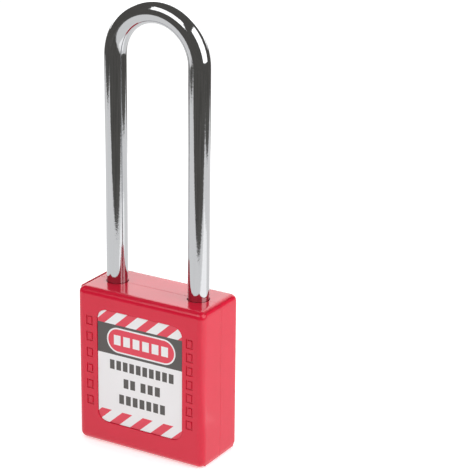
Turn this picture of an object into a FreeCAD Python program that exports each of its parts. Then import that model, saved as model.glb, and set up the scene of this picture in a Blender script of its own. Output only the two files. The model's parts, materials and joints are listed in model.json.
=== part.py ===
import FreeCAD, Part
import math
import os
import re
import Sketcher

# A keyed safety padlock: a moulded two-part case round a die-cast lock housing, with a
# six-pin cylinder, a cam that drives two locking balls, and a long steel shackle.
# Frame: X is the width, -Y the front face, +Z runs up the shackle, and the origin is
# the middle of the base. The cylinder is drawn at its open position, shackle pushed home.

doc = FreeCAD.newDocument("SafetyPadlock")

# ---------------------------------------------------------------- driving dimensions, mm
SIZES = [
    ("body_width", 41.0, "case along X"),
    ("body_depth", 19.0, "case along Y"),
    ("body_height", 46.0, "case along Z"),
    ("edge_fillet", 2.0, "rounding of the outer edges of the case"),
    ("shell_wall", 2.0, "front and back wall over the housing"),
    ("bottom_wall", 2.2, "wall under the housing"),
    ("top_wall", 2.4, "wall over the housing"),
    ("seat_gap", 0.1, "clearance of the housing in the case"),
    ("peg_diameter", 1.8, "locating pegs of the front shell"),
    ("peg_length", 3.0, "reach of a peg into the rear shell"),
    ("peg_gap", 0.1, "clearance round and beyond a peg"),
    ("peg_lift", 3.0, "lowest pegs, above the bottom wall"),
    ("peg_rim_drop", 6.5, "highest pegs, below the top of the case"),
    ("label_side_margin", 6.6, "label recess from the sides of the case"),
    ("label_top_margin", 5.3, "label recess from the top of the case"),
    ("label_bottom_margin", 6.9, "label recess from the base"),
    ("label_corner", 3.2, "corner radius of the label recess"),
    ("label_recess", 0.6, "depth of the label recess"),
    ("label_thickness", 0.35, "printed label plate"),
    ("label_gap", 0.1, "clearance round the label plate"),
    ("mark_inset", 4.2, "columns of engraved marks from the sides of the case"),
    ("mark_width", 2.2, "one engraved mark along X"),
    ("mark_height", 2.8, "one engraved mark along Z"),
    ("mark_stroke", 0.45, "width of the engraved line"),
    ("mark_rise", 0.8, "middle of a column of marks above the middle of the label"),
    ("mark_span", 24.0, "from the first mark of a column to its last"),
    ("mark_depth", 0.25, "depth of the engraving"),
    ("left_marks", 6, "marks in the heel-side column"),
    ("right_marks", 7, "marks in the toe-side column"),
    ("bar_diameter", 6.0, "round bar of the shackle"),
    ("bar_gap", 0.15, "clearance round a leg in the case and housing"),
    ("bar_chamfer", 0.6, "chamfer at the ends of the legs"),
    ("shackle_clearance", 75.0, "top of the case to the inside of the crown"),
    ("toe_land", 1.5, "leg left under the toe notch"),
    ("toe_rise", 1.15, "how far the open toe clears the case"),
    ("toe_room", 0.65, "space under the closed toe"),
    ("heel_land", 2.3, "leg left under the heel groove, which stops the lift"),
    ("heel_floor", 3.0, "bottom of the heel bore above the base"),
    ("ball_diameter", 5.5, "locking balls"),
    ("ball_gap", 0.1, "clearance round a ball in its bore and notch"),
    ("ball_depth", 10.0, "plane of the balls below the top of the case"),
    ("ball_bite", 1.3, "how far a locked ball enters its leg"),
    ("toe_travel", 1.6, "travel of the toe ball"),
    ("heel_travel", 0.7, "travel of the heel ball, which stays in its channel"),
    ("notch_depth", 1.45, "notches and heel groove, into the leg"),
    ("channel_depth", 0.85, "channel along the heel leg"),
    ("channel_ease", 0.1, "channel radius over notch radius"),
    ("cam_diameter", 11.8, "cam disc"),
    ("cam_gap", 0.15, "clearance round the cam and its ball tracks"),
    ("cam_web", 0.85, "floor of the cam under the ball tracks"),
    ("cam_rim", 0.55, "cam over the ball bores"),
    ("cam_stem_diameter", 9.2, "stem of the cam"),
    ("cam_boss_diameter", 6.0, "top boss of the cam"),
    ("cam_lift_gap", 0.1, "end float of the cam"),
    ("cap_thickness", 1.5, "plate over the cam bore"),
    ("cap_seat", 0.75, "plate radius over cam bore radius"),
    ("cap_gap", 0.05, "clearance round the cam plate and chamber strip"),
    ("saddle_reach", 1.75, "upper housing past the inner side of a leg centre"),
    ("housing_wall", 1.8, "housing behind the plug"),
    ("shoulder_rise", 2.9, "lower housing block above the plug barrel"),
    ("plug_diameter", 9.0, "barrel of the plug"),
    ("plug_gap", 0.05, "running clearance of the plug"),
    ("plug_sink", 0.4, "plug face above the base of the case"),
    ("flange_diameter", 10.4, "flange at the face of the plug"),
    ("flange_gap", 0.2, "clearance round the flange"),
    ("neck_diameter", 6.8, "groove for the retaining clip"),
    ("head_diameter", 8.6, "plug above its groove"),
    ("head_thickness", 0.7, "plug above its groove, along Z"),
    ("clip_diameter", 10.8, "outside of the retaining clip"),
    ("clip_thickness", 0.6, "retaining clip"),
    ("clip_gap", 0.1, "clearance of the clip in its groove"),
    ("tongue_width", 2.4, "driving tongue of the plug along X"),
    ("tongue_span", 7.6, "driving tongue along Y"),
    ("tongue_length", 2.5, "driving tongue along Z"),
    ("tongue_gap", 0.1, "clearance of the tongue in the cam"),
    ("keyway_slot", 1.1, "width of each half of the keyway"),
    ("keyway_offset", 0.35, "sideways step between its halves"),
    ("keyway_step", -1.2, "where the halves meet along Y"),
    ("keyway_top", 1.8, "blind side of the keyway along Y"),
    ("pin_count", 6, "pin stacks"),
    ("pin_pitch", 3.0, "between pin stacks"),
    ("pin_margin", 2.9, "end stacks from the ends of the barrel"),
    ("pin_diameter", 2.2, "key pins and driver pins"),
    ("pin_gap", 0.05, "clearance round and between pins"),
    ("pin_tip", 0.5, "cone at the end of a key pin"),
    ("pin_crown", 0.2, "flat outer end of a key pin under the round of the plug"),
    ("key_pin_shortest", 2.2, "key pin of code 0"),
    ("key_pin_step", 0.25, "from one code to the next"),
    ("key_pin_room", 0.5, "plug's pin holes past the longest key pin"),
    ("driver_length", 3.2, "driver pins"),
    ("pin_spring_length", 5.45, "pin springs as fitted"),
    ("pin_spring_wire", 0.25, "wire of the pin springs"),
    ("pin_spring_turns", 7, "turns of a pin spring"),
    ("strip_thickness", 1.1, "strip that closes the pin chambers"),
    ("strip_width", 3.4, "strip along Y"),
    ("strip_margin", 1.9, "strip past the end chambers"),
    ("shackle_spring_diameter", 4.8, "outside of the shackle spring"),
    ("shackle_spring_wire", 0.6, "wire of the shackle spring"),
    ("shackle_spring_turns", 9, "turns of the shackle spring"),
    ("spring_gap", 0.1, "space at each end of the shackle spring"),
]

# Codes of the key pins, face end first: how many steps each is longer than the shortest.
KEY_CODE = [2, 4, 1, 3, 0, 2]
LONGEST_CODE = max(KEY_CODE)

sheet = doc.addObject("Spreadsheet::Sheet", "Sizes")
for row, (alias, amount, meaning) in enumerate(SIZES, start=1):
    sheet.set("A%d" % row, meaning)
    sheet.set("B%d" % row, str(amount))
    sheet.setAlias("B%d" % row, alias)

# ---------------------------------------------------------------- places worked out from them
PLACES = [
    ("bar_radius", "bar_diameter / 2"),
    ("hole_radius", "bar_radius + bar_gap"),
    ("ball_radius", "ball_diameter / 2"),
    ("notch_radius", "ball_radius + ball_gap"),
    ("channel_radius", "notch_radius + channel_ease"),
    ("ball_height", "body_height - ball_depth"),
    ("cam_bore_radius", "cam_diameter / 2 + cam_gap"),
    ("leg_face", "cam_bore_radius + ball_diameter - ball_bite"),
    ("leg_x", "leg_face + bar_radius"),
    ("ball_locked", "leg_face + ball_bite - ball_radius"),
    ("toe_open", "ball_locked - toe_travel"),
    ("heel_open", "ball_locked - heel_travel"),
    ("notch_x", "leg_face + notch_depth - notch_radius"),
    ("channel_x", "leg_face + channel_depth - channel_radius"),
    ("toe_end", "ball_height - notch_radius - toe_land"),
    ("toe_floor", "toe_end - toe_room"),
    ("shackle_lift", "body_height + toe_rise - toe_end"),
    ("groove_height", "ball_height - shackle_lift"),
    ("heel_end", "groove_height - notch_radius - heel_land"),
    ("crown_height", "body_height + shackle_clearance - leg_face"),
    ("housing_half", "body_depth / 2 - shell_wall - seat_gap"),
    ("housing_low", "bottom_wall + seat_gap"),
    ("housing_high", "body_height - top_wall - seat_gap"),
    ("plug_radius", "plug_diameter / 2"),
    ("first_pin", "housing_low + pin_margin"),
    ("last_pin", "first_pin + (pin_count - 1) * pin_pitch"),
    ("barrel_high", "last_pin + pin_margin"),
    ("shoulder", "barrel_high + shoulder_rise"),
    ("block_left", "plug_radius + housing_wall"),
    ("driver_x", "plug_radius + pin_gap"),
    ("pin_spring_x", "driver_x + driver_length + pin_gap"),
    ("chamber_end", "pin_spring_x + pin_spring_length + pin_gap"),
    ("block_right", "chamber_end + strip_thickness"),
    ("upper_half", "leg_x - saddle_reach"),
    ("chamber_radius", "pin_diameter / 2 + 2 * pin_gap"),
    ("key_pin_outer", "plug_radius - pin_crown"),
    ("key_pin_longest", "key_pin_shortest + key_pin_step * %d" % LONGEST_CODE),
    ("pin_hole_floor", "key_pin_outer - key_pin_longest - key_pin_room"),
    ("flange_high", "housing_low - seat_gap"),
    ("neck_high", "barrel_high + clip_thickness + 2 * clip_gap"),
    ("head_high", "neck_high + head_thickness"),
    ("tongue_high", "head_high + tongue_length"),
    ("stem_low", "head_high + cam_lift_gap"),
    ("disc_low", "ball_height - notch_radius - cam_web"),
    ("disc_high", "ball_height + notch_radius + cam_rim"),
    ("cap_low", "housing_high - cap_thickness"),
    ("cap_radius", "cam_bore_radius + cap_seat"),
    ("label_half", "body_width / 2 - label_side_margin"),
    ("label_high", "body_height - label_top_margin"),
    ("mark_x", "body_width / 2 - mark_inset"),
    ("mark_low", "(label_bottom_margin + label_high) / 2 + mark_rise - mark_span / 2"),
    ("peg_low", "bottom_wall + peg_lift"),
    ("peg_high", "shoulder - peg_lift"),
    ("peg_rim", "body_height - peg_rim_drop"),
    ("peg_left_x", "(leg_x - hole_radius + block_left + seat_gap) / 2"),
    ("peg_right_x", "(block_right + seat_gap + body_width / 2) / 2"),
    ("peg_rim_x", "(leg_x + hole_radius + body_width / 2) / 2"),
]

places = doc.addObject("App::VarSet", "Places")
size_names = {alias for alias, amount, meaning in SIZES}
place_names = {name for name, rule in PLACES}


def formula(text):
    """Turn each name of a size or a place in text into a reference to where it is kept."""
    def reference(match):
        word = match.group()
        if word in size_names:
            return "Sizes." + word
        if word in place_names:
            return "Places." + word
        return word
    return re.sub(r"[a-z_]+", reference, str(text))


def bind(item, rules):
    """Bind properties of a document object to formulas over the sizes and places."""
    for path, text in rules.items():
        item.setExpression(path, formula(text))


doc.recompute()
for name, rule in PLACES:
    places.addProperty("App::PropertyFloat", name, "Places")
    bind(places, {name: rule})
    doc.recompute()


def size(name):
    """The present value of a size or a place, for a shape that takes plain numbers."""
    if name in place_names:
        return getattr(places, name)
    return sheet.get(name)


# ---------------------------------------------------------------- sketches and features
def new_body(label):
    """A PartDesign body, one piece of the lock."""
    body = doc.addObject("PartDesign::Body", label)
    body.Label = label
    return body


def origin_feature(body, role):
    """A plane or an axis of the body's own origin."""
    return next(item for item in body.Origin.OriginFeatures if item.Role == role)


def new_sketch(body, name, plane, offset="0"):
    """A sketch on one of the body's own planes, moved along that plane's normal."""
    sketch = body.newObject("Sketcher::SketchObject", name)
    sketch.AttachmentSupport = [(origin_feature(body, plane), "")]
    sketch.MapMode = "FlatFace"
    bind(sketch, {"AttachmentOffset.Base.z": offset})
    return sketch


def place_point(sketch, edge, corner, across, up):
    """Hold one point of a sketch at its distances from the sketch's origin."""
    for kind, text in (("DistanceX", across), ("DistanceY", up)):
        index = sketch.addConstraint(Sketcher.Constraint(kind, -1, 1, edge, corner, 1.0))
        bind(sketch, {"Constraints[%d]" % index: text})


def outline(sketch, corners):
    """A closed outline of straight lines through the corners."""
    first = sketch.GeometryCount
    count = len(corners)
    turn = 2 * math.pi / count
    start = [FreeCAD.Vector(math.cos(turn * i), math.sin(turn * i), 0) for i in range(count)]
    for i in range(count):
        sketch.addGeometry(Part.LineSegment(start[i], start[(i + 1) % count]), False)
    for i in range(count):
        sketch.addConstraint(Sketcher.Constraint("Coincident", first + i, 2, first + (i + 1) % count, 1))
    for i, (across, up) in enumerate(corners):
        place_point(sketch, first + i, 1, across, up)


def rectangle(sketch, left, right, low, high):
    """A rectangle with its sides at these distances from the sketch's origin."""
    outline(sketch, [(left, low), (right, low), (right, high), (left, high)])


def circle(sketch, across, up, radius):
    """A circle with its centre at these distances from the sketch's origin."""
    edge = sketch.addGeometry(Part.Circle(FreeCAD.Vector(0, 0, 0), FreeCAD.Vector(0, 0, 1), 1.0), False)
    place_point(sketch, edge, 3, across, up)
    index = sketch.addConstraint(Sketcher.Constraint("Radius", edge, 1.0))
    bind(sketch, {"Constraints[%d]" % index: radius})


def extrusion(kind, body, sketch, length, reverse=False, symmetric=False):
    """A Pad or a Pocket of a sketch. A pad leaves along the plane's normal, a pocket against it."""
    feature = body.newObject("PartDesign::" + kind, sketch.Name + kind)
    feature.Profile = sketch
    feature.Reversed = reverse
    if symmetric:
        feature.SideType = "Symmetric"
    bind(feature, {"Length": length})
    return feature


def round_step(kind, body, name, start, length, radius, reverse=False):
    """A round pad or pocket about the Z axis, from one height."""
    sketch = new_sketch(body, name, "XY_Plane", start)
    circle(sketch, "0", "0", radius)
    return extrusion(kind, body, sketch, length, reverse)


def row_of(body, feature, spacing, count):
    """Repeat a feature up the Z axis."""
    row = body.newObject("PartDesign::LinearPattern", feature.Name + "Row")
    row.Originals = [feature]
    row.Direction = (origin_feature(body, "Z_Axis"), [""])
    row.Mode = "Spacing"
    bind(row, {"Offset": spacing, "Occurrences": count})
    body.Tip = row
    return row


def fillet_where(body, name, radius, wanted):
    """Fillet the edges of the body so far that pass the test."""
    doc.recompute()
    base = body.Tip
    edges = ["Edge%d" % i for i, edge in enumerate(base.Shape.Edges, start=1) if wanted(edge)]
    feature = body.newObject("PartDesign::Fillet", name)
    feature.Base = (base, edges)
    bind(feature, {"Radius": radius})
    return feature


# ---------------------------------------------------------------- case: two moulded half shells
def housing_outline(sketch, gap):
    """The lock housing seen from the front, a T with one arm over the pin chambers."""
    left = "-(block_left + %s)" % gap
    right = "block_right + %s" % gap
    arm = "upper_half + %s" % gap
    low = "housing_low - %s" % gap
    high = "housing_high + %s" % gap
    outline(sketch, [(left, low), (right, low), (right, "shoulder + %s" % gap),
                     (arm, "shoulder + %s" % gap), (arm, high), ("-(%s)" % arm, high),
                     ("-(%s)" % arm, "shoulder - %s" % gap), (left, "shoulder - %s" % gap)])


PEGS = [("-peg_left_x", "peg_low"), ("peg_right_x", "peg_low"), ("-peg_left_x", "peg_high"),
        ("peg_right_x", "peg_high"), ("-peg_rim_x", "peg_rim"), ("peg_rim_x", "peg_rim")]


def half_shell(label, rear):
    """Half of the case, split on the middle plane, with its recesses cut from outside and inside.

    The XZ plane's normal points to the front, so the rear shell reverses what the front does.
    """
    shell = new_body(label)
    face = "-body_depth / 2" if rear else "body_depth / 2"

    block = new_sketch(shell, label + "_block", "XZ_Plane")
    rectangle(block, "-body_width / 2", "body_width / 2", "0", "body_height")
    extrusion("Pad", shell, block, "body_depth / 2", reverse=rear)
    fillet_where(shell, label + "_rounding", "edge_fillet",
                 lambda edge: max(abs(vertex.Y) for vertex in edge.Vertexes) > size("edge_fillet"))

    recess = new_sketch(shell, label + "_recess", "XZ_Plane", face)
    rectangle(recess, "-label_half", "label_half", "label_bottom_margin", "label_high")
    extrusion("Pocket", shell, recess, "label_recess", reverse=rear)
    fillet_where(shell, label + "_recess_corners", "label_corner",
                 lambda edge: abs(edge.Length - size("label_recess")) < 1e-6
                 and all(abs(abs(vertex.X) - size("label_half")) < 1e-6 for vertex in edge.Vertexes))

    for side, count in (("-mark_x", "left_marks"), ("mark_x", "right_marks")):
        marks = new_sketch(shell, label + "_" + count, "XZ_Plane", face)
        for inset in ("0", "mark_stroke"):
            rectangle(marks, "%s - mark_width / 2 + %s" % (side, inset),
                      "%s + mark_width / 2 - %s" % (side, inset),
                      "mark_low - mark_height / 2 + " + inset, "mark_low + mark_height / 2 - " + inset)
        groove = extrusion("Pocket", shell, marks, "mark_depth", reverse=rear)
        row_of(shell, groove, "mark_span / (%s - 1)" % count, count)

    cavity = new_sketch(shell, label + "_cavity", "XZ_Plane")
    housing_outline(cavity, "seat_gap")
    extrusion("Pocket", shell, cavity, "housing_half + seat_gap", reverse=not rear)

    for name, side, floor in (("heel", "-leg_x", "heel_floor"), ("toe", "leg_x", "toe_floor")):
        bore = new_sketch(shell, label + "_" + name + "_bore", "XY_Plane", "body_height")
        circle(bore, side, "0", "hole_radius")
        extrusion("Pocket", shell, bore, "body_height - " + floor)

    round_step("Pocket", shell, label + "_keyhole", "0", "bottom_wall",
               "flange_diameter / 2 + flange_gap", reverse=True)

    pegs = new_sketch(shell, label + "_pegs", "XZ_Plane")
    for across, up in PEGS:
        circle(pegs, across, up, "peg_diameter / 2" + (" + peg_gap" if rear else ""))
    if rear:
        extrusion("Pocket", shell, pegs, "peg_length + peg_gap")
    else:
        extrusion("Pad", shell, pegs, "peg_length", reverse=True)
    return shell


def label_plate(label, rear):
    """A printed plate with rounded corners, bonded to the floor of its recess."""
    plate = new_body(label)
    floor = "body_depth / 2 - label_recess"
    sketch = new_sketch(plate, label + "_outline", "XZ_Plane", "-(%s)" % floor if rear else floor)
    rectangle(sketch, "-(label_half - label_gap)", "label_half - label_gap",
              "label_bottom_margin + label_gap", "label_high - label_gap")
    extrusion("Pad", plate, sketch, "label_thickness", reverse=rear)
    fillet_where(plate, label + "_corners", "label_corner - label_gap",
                 lambda edge: abs(edge.Length - size("label_thickness")) < 1e-6)
    return plate


nodes = [half_shell("front_shell", rear=False), half_shell("rear_shell", rear=True),
         label_plate("front_label", rear=False), label_plate("rear_label", rear=True)]


# ---------------------------------------------------------------- lock housing: zinc die casting
housing = new_body("lock_housing")
nodes.append(housing)

block = new_sketch(housing, "housing_block", "XZ_Plane")
housing_outline(block, "0")
extrusion("Pad", housing, block, "2 * housing_half", symmetric=True)

round_step("Pocket", housing, "plug_bore", "housing_low", "barrel_high - housing_low",
           "plug_radius + plug_gap", reverse=True)
round_step("Pocket", housing, "cam_bore", "housing_high", "housing_high - barrel_high",
           "cam_bore_radius")
round_step("Pocket", housing, "cam_plate_seat", "housing_high", "cap_thickness + cap_gap",
           "cap_radius + cap_gap")

saddles = new_sketch(housing, "leg_saddles", "XY_Plane", "housing_high")
circle(saddles, "-leg_x", "0", "hole_radius")
circle(saddles, "leg_x", "0", "hole_radius")
extrusion("Pocket", housing, saddles, "housing_high - shoulder")

ball_bore = new_sketch(housing, "ball_bore", "YZ_Plane")
circle(ball_bore, "0", "ball_height", "notch_radius")
extrusion("Pocket", housing, ball_bore, "2 * leg_x", symmetric=True)

chamber = new_sketch(housing, "pin_chamber", "YZ_Plane", "block_right")
circle(chamber, "0", "first_pin", "chamber_radius")
chamber_cut = extrusion("Pocket", housing, chamber, "block_right - plug_radius / 2")
row_of(housing, chamber_cut, "pin_pitch", "pin_count")

strip_seat = new_sketch(housing, "strip_seat", "YZ_Plane", "block_right")
rectangle(strip_seat, "-(strip_width / 2 + cap_gap)", "strip_width / 2 + cap_gap",
          "first_pin - strip_margin - cap_gap", "last_pin + strip_margin + cap_gap")
extrusion("Pocket", housing, strip_seat, "strip_thickness")

chamber_strip = new_body("chamber_strip")
nodes.append(chamber_strip)
strip = new_sketch(chamber_strip, "strip_outline", "YZ_Plane", "chamber_end")
rectangle(strip, "-strip_width / 2", "strip_width / 2",
          "first_pin - strip_margin", "last_pin + strip_margin")
extrusion("Pad", chamber_strip, strip, "strip_thickness")

# The plate is staked over the cam bore.
cam_plate = new_body("cam_plate")
nodes.append(cam_plate)
round_step("Pad", cam_plate, "plate_disc", "cap_low", "cap_thickness", "cap_radius")


# ---------------------------------------------------------------- plug: turned and broached brass
plug = new_body("plug")
nodes.append(plug)
PLUG_STEPS = [
    ("plug_flange", "plug_sink", "flange_high", "flange_diameter / 2"),
    ("plug_barrel", "flange_high", "barrel_high", "plug_radius"),
    ("plug_neck", "barrel_high", "neck_high", "neck_diameter / 2"),
    ("plug_head", "neck_high", "head_high", "head_diameter / 2"),
]
for name, low, high, radius in PLUG_STEPS:
    round_step("Pad", plug, name, low, "%s - %s" % (high, low), radius)

tongue = new_sketch(plug, "plug_tongue", "XY_Plane", "head_high")
rectangle(tongue, "-tongue_width / 2", "tongue_width / 2", "-tongue_span / 2", "tongue_span / 2")
extrusion("Pad", plug, tongue, "tongue_length")

# Two slots side by side make the stepped keyway. It opens away from the pins.
for name, shift, start, end in (
        ("keyway_open_half", "-keyway_offset", "-flange_diameter", "keyway_step + keyway_slot / 2"),
        ("keyway_blind_half", "keyway_offset", "keyway_step", "keyway_top")):
    keyway = new_sketch(plug, name, "XY_Plane", "plug_sink")
    rectangle(keyway, shift + " - keyway_slot / 2", shift + " + keyway_slot / 2", start, end)
    extrusion("Pocket", plug, keyway, "last_pin + pin_diameter - plug_sink", reverse=True)

pin_hole = new_sketch(plug, "pin_hole", "XZ_Plane", "-plug_radius")
circle(pin_hole, "0", "first_pin", "chamber_radius")
hole_cut = extrusion("Pocket", plug, pin_hole, "plug_radius - pin_hole_floor", reverse=True)
row_of(plug, hole_cut, "pin_pitch", "pin_count")


# ---------------------------------------------------------------- primitives and booleans
def cylinder(name, radius, height, base, turn=None):
    """A round bar from its base point along +Z, or along a turned axis."""
    item = doc.addObject("Part::Cylinder", name)
    settle(item, {"Radius": radius, "Height": height}, base, turn)
    return item


def settle(item, rules, base, turn=None):
    """Bind a primitive's sizes and its base point, and turn it about one axis."""
    if turn:
        axis, degrees = turn
        rotation = FreeCAD.Rotation(FreeCAD.Vector(*axis), degrees)
        item.Placement = FreeCAD.Placement(FreeCAD.Vector(), rotation)
    bind(item, rules)
    bind(item, {"Placement.Base." + axis: text for axis, text in zip("xyz", base)})


def combine(kind, label, parts):
    """A boolean of parts: a MultiFuse of all of them, or a Cut of the second from the first."""
    item = doc.addObject("Part::" + kind, label)
    item.Label = label
    if kind == "Cut":
        item.Base, item.Tool = parts
    else:
        item.Shapes = parts
    item.Refine = True
    return item


ALONG_X = ((0, 1, 0), 90)
ALONG_FRONT = ((1, 0, 0), 90)

# The clip is stamped spring steel, a ring with a mouth that snaps over the neck.
ring = cylinder("clip_ring", "clip_diameter / 2", "clip_thickness", ("0", "0", "barrel_high + clip_gap"))
ring_hole = cylinder("clip_hole", "neck_diameter / 2 + clip_gap", "clip_thickness",
                     ("0", "0", "barrel_high + clip_gap"))
mouth = doc.addObject("Part::Box", "clip_mouth")
settle(mouth, {"Length": "neck_diameter * 0.8", "Width": "clip_diameter", "Height": "clip_thickness"},
       ("-neck_diameter * 0.4", "0", "barrel_high + clip_gap"))
clip_cutter = combine("MultiFuse", "clip_cutter", [ring_hole, mouth])
nodes.append(combine("Cut", "plug_clip", [ring, clip_cutter]))

# Key pins stand in the plug with their outer ends at the shear line.
for number, code in enumerate(KEY_CODE, start=1):
    shank_length = "key_pin_shortest + key_pin_step * %d - pin_tip" % code
    height = "first_pin + %d * pin_pitch" % (number - 1)
    shank = cylinder("key_pin_shank_%d" % number, "pin_diameter / 2", shank_length,
                     ("0", "key_pin_outer", height), ALONG_FRONT)
    tip = doc.addObject("Part::Cone", "key_pin_tip_%d" % number)
    tip_rules = {"Radius1": "pin_diameter / 2", "Radius2": "pin_diameter / 2 - pin_tip",
                 "Height": "pin_tip"}
    settle(tip, tip_rules, ("0", "key_pin_outer - (%s)" % shank_length, height), ALONG_FRONT)
    nodes.append(combine("MultiFuse", "key_pin_%d" % number, [shank, tip]))


# ---------------------------------------------------------------- driver pins and springs
WIRE_SIDES = 12


def spring(label, wire, outside, length, turns, base, turn=None):
    """A compression spring: a wire swept along a helix, its length measured overall.

    The wire has twelve flats, which hold their volume when the spring is meshed.
    """
    helix = doc.addObject("Part::Helix", label + "_line")
    settle(helix, {"Radius": "(%s - %s) / 2" % (outside, wire), "Height": "%s - %s" % (length, wire),
                   "Pitch": "(%s - %s) / %s" % (length, wire, turns)}, ("0", "0", "0"))
    section = doc.addObject("Part::RegularPolygon", label + "_section")
    section.Polygon = WIRE_SIDES
    first_point = ("(%s - %s) / 2" % (outside, wire), "0", "0")
    settle(section, {"Circumradius": wire + " / 2"}, first_point, ALONG_FRONT)
    doc.recompute()
    coil = doc.addObject("Part::Sweep", label)
    coil.Label = label
    coil.Sections = [section]
    coil.Spine = (helix, ["Edge%d" % i for i in range(1, len(helix.Shape.Edges) + 1)])
    coil.Solid = True
    coil.Frenet = True
    settle(coil, {}, base, turn)
    return coil


for number in range(1, int(size("pin_count")) + 1):
    height = "first_pin + %d * pin_pitch" % (number - 1)
    driver = cylinder("driver_pin_%d" % number, "pin_diameter / 2", "driver_length",
                      ("driver_x", "0", height), ALONG_X)
    nodes.append(driver)
    nodes.append(spring("pin_spring_%d" % number, "pin_spring_wire", "pin_diameter", "pin_spring_length",
                        "pin_spring_turns", ("pin_spring_x + pin_spring_wire / 2", "0", height), ALONG_X))

nodes.append(spring("shackle_spring", "shackle_spring_wire", "shackle_spring_diameter",
                    "heel_end - heel_floor - 2 * spring_gap", "shackle_spring_turns",
                    ("-leg_x", "0", "heel_floor + spring_gap + shackle_spring_wire / 2")))


# ---------------------------------------------------------------- cam and locking balls
def ball_track(start_angle, start_radius):
    """The slot that a ball runs in as the cam turns a quarter: its path is a spiral that
    goes out evenly from start_radius to the locked radius, drawn as one arc."""
    end_radius = size("ball_locked")
    points = []
    for share in (0.0, 0.5, 1.0):
        angle = math.radians(start_angle + 90 * share)
        reach = start_radius + (end_radius - start_radius) * share
        points.append(FreeCAD.Vector(reach * math.cos(angle), reach * math.sin(angle), 0))
    path = Part.Wire(Part.Arc(*points).toShape())
    slot = path.makeOffset2D(size("notch_radius") + size("cam_gap") - size("ball_gap"))
    floor = size("disc_low") + size("cam_web")
    slot.translate(FreeCAD.Vector(0, 0, floor))
    return Part.Face(slot).extrude(FreeCAD.Vector(0, 0, size("disc_high") - floor))


def standing_cylinder(diameter, low, high):
    """A cylinder on the Z axis between two heights."""
    return Part.makeCylinder(diameter / 2, high - low, FreeCAD.Vector(0, 0, low))


# A Part::Feature, because the ball tracks follow a spiral that no primitive gives.
cam_shape = standing_cylinder(size("cam_stem_diameter"), size("stem_low"), size("disc_low"))
cam_shape = cam_shape.fuse(standing_cylinder(size("cam_diameter"), size("disc_low"), size("disc_high")))
cam_shape = cam_shape.cut(ball_track(0, size("toe_open")))
cam_shape = cam_shape.cut(ball_track(180, size("heel_open")))
cam_shape = cam_shape.fuse(standing_cylinder(size("cam_boss_diameter"), size("disc_high") - size("cam_rim"),
                                             size("cap_low") - size("cam_lift_gap")))
slot_width = size("tongue_width") + 2 * size("tongue_gap")
slot_height = size("tongue_length") + size("tongue_gap") - size("cam_lift_gap")
tongue_slot = Part.makeBox(slot_width, size("cam_stem_diameter"), slot_height,
                           FreeCAD.Vector(-slot_width / 2, -size("cam_stem_diameter") / 2, size("stem_low")))
cam_shape = cam_shape.cut(tongue_slot).removeSplitter()
cam = doc.addObject("Part::Feature", "cam")
cam.Shape = cam_shape
nodes.append(cam)

for name, across in (("heel_ball", "-heel_open"), ("toe_ball", "toe_open")):
    ball = doc.addObject("Part::Sphere", name)
    settle(ball, {"Radius": "ball_radius"}, (across, "0", "ball_height"))
    nodes.append(ball)


# ---------------------------------------------------------------- shackle: bent round bar
def leg(name, across, end):
    """A straight leg up to the crown, with a chamfered lower end."""
    bar = cylinder(name, "bar_radius", "crown_height - (%s) - bar_chamfer" % end,
                   (across, "0", "%s + bar_chamfer" % end))
    tip = doc.addObject("Part::Cone", name + "_tip")
    settle(tip, {"Radius1": "bar_radius - bar_chamfer", "Radius2": "bar_radius", "Height": "bar_chamfer"},
           (across, "0", end))
    return [bar, tip]


crown = doc.addObject("Part::Torus", "crown")
crown.Angle3 = 180
settle(crown, {"Radius1": "leg_x", "Radius2": "bar_radius"}, ("0", "0", "crown_height"), ALONG_FRONT)
bar = combine("MultiFuse", "bent_bar",
              [crown] + leg("heel_leg", "-leg_x", "heel_end") + leg("toe_leg", "leg_x", "toe_end"))

toe_notch = cylinder("toe_notch", "notch_radius", "2 * bar_diameter",
                     ("notch_x", "bar_diameter", "ball_height"), ALONG_FRONT)
heel_notch = cylinder("heel_notch", "notch_radius", "2 * bar_diameter",
                      ("-notch_x", "bar_diameter", "ball_height"), ALONG_FRONT)
channel = cylinder("heel_channel", "channel_radius", "shackle_lift",
                   ("-channel_x", "0", "groove_height"))
groove = doc.addObject("Part::Torus", "heel_groove")
settle(groove, {"Radius1": "bar_radius + notch_radius - notch_depth", "Radius2": "notch_radius"},
       ("-leg_x", "0", "groove_height"))
leg_cuts = combine("MultiFuse", "leg_cuts", [toe_notch, heel_notch, channel, groove])
nodes.append(combine("Cut", "shackle", [bar, leg_cuts]))

# ---------------------------------------------------------------- checks and export
doc.recompute()


def check_document():
    """Stop if a feature failed, or if a pocket took nothing away."""
    for item in doc.Objects:
        bad = {"Invalid", "Error"} & set(item.State)
        if bad:
            raise RuntimeError("%s is %s" % (item.Name, ", ".join(bad)))
    for body in doc.findObjects("PartDesign::Body"):
        before = 0.0
        for feature in body.Group:
            if not feature.isDerivedFrom("PartDesign::Feature"):
                continue
            volume = feature.Shape.Volume
            if feature.isDerivedFrom("PartDesign::Pocket") and volume > before - 1e-6:
                raise RuntimeError("%s cuts nothing" % feature.Name)
            before = volume


check_document()
for node in nodes:
    if node.Shape.isNull() or not node.Shape.isValid() or len(node.Shape.Solids) != 1:
        raise RuntimeError("%s is not one sound solid" % node.Label)

os.makedirs("parts", exist_ok=True)
for node in nodes:
    node.Shape.exportStep("parts/%s.step" % node.Label)
print("%d pieces written" % len(nodes))
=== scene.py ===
import json
import math

import bpy
import numpy as np
from mathutils import Matrix, Vector


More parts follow.
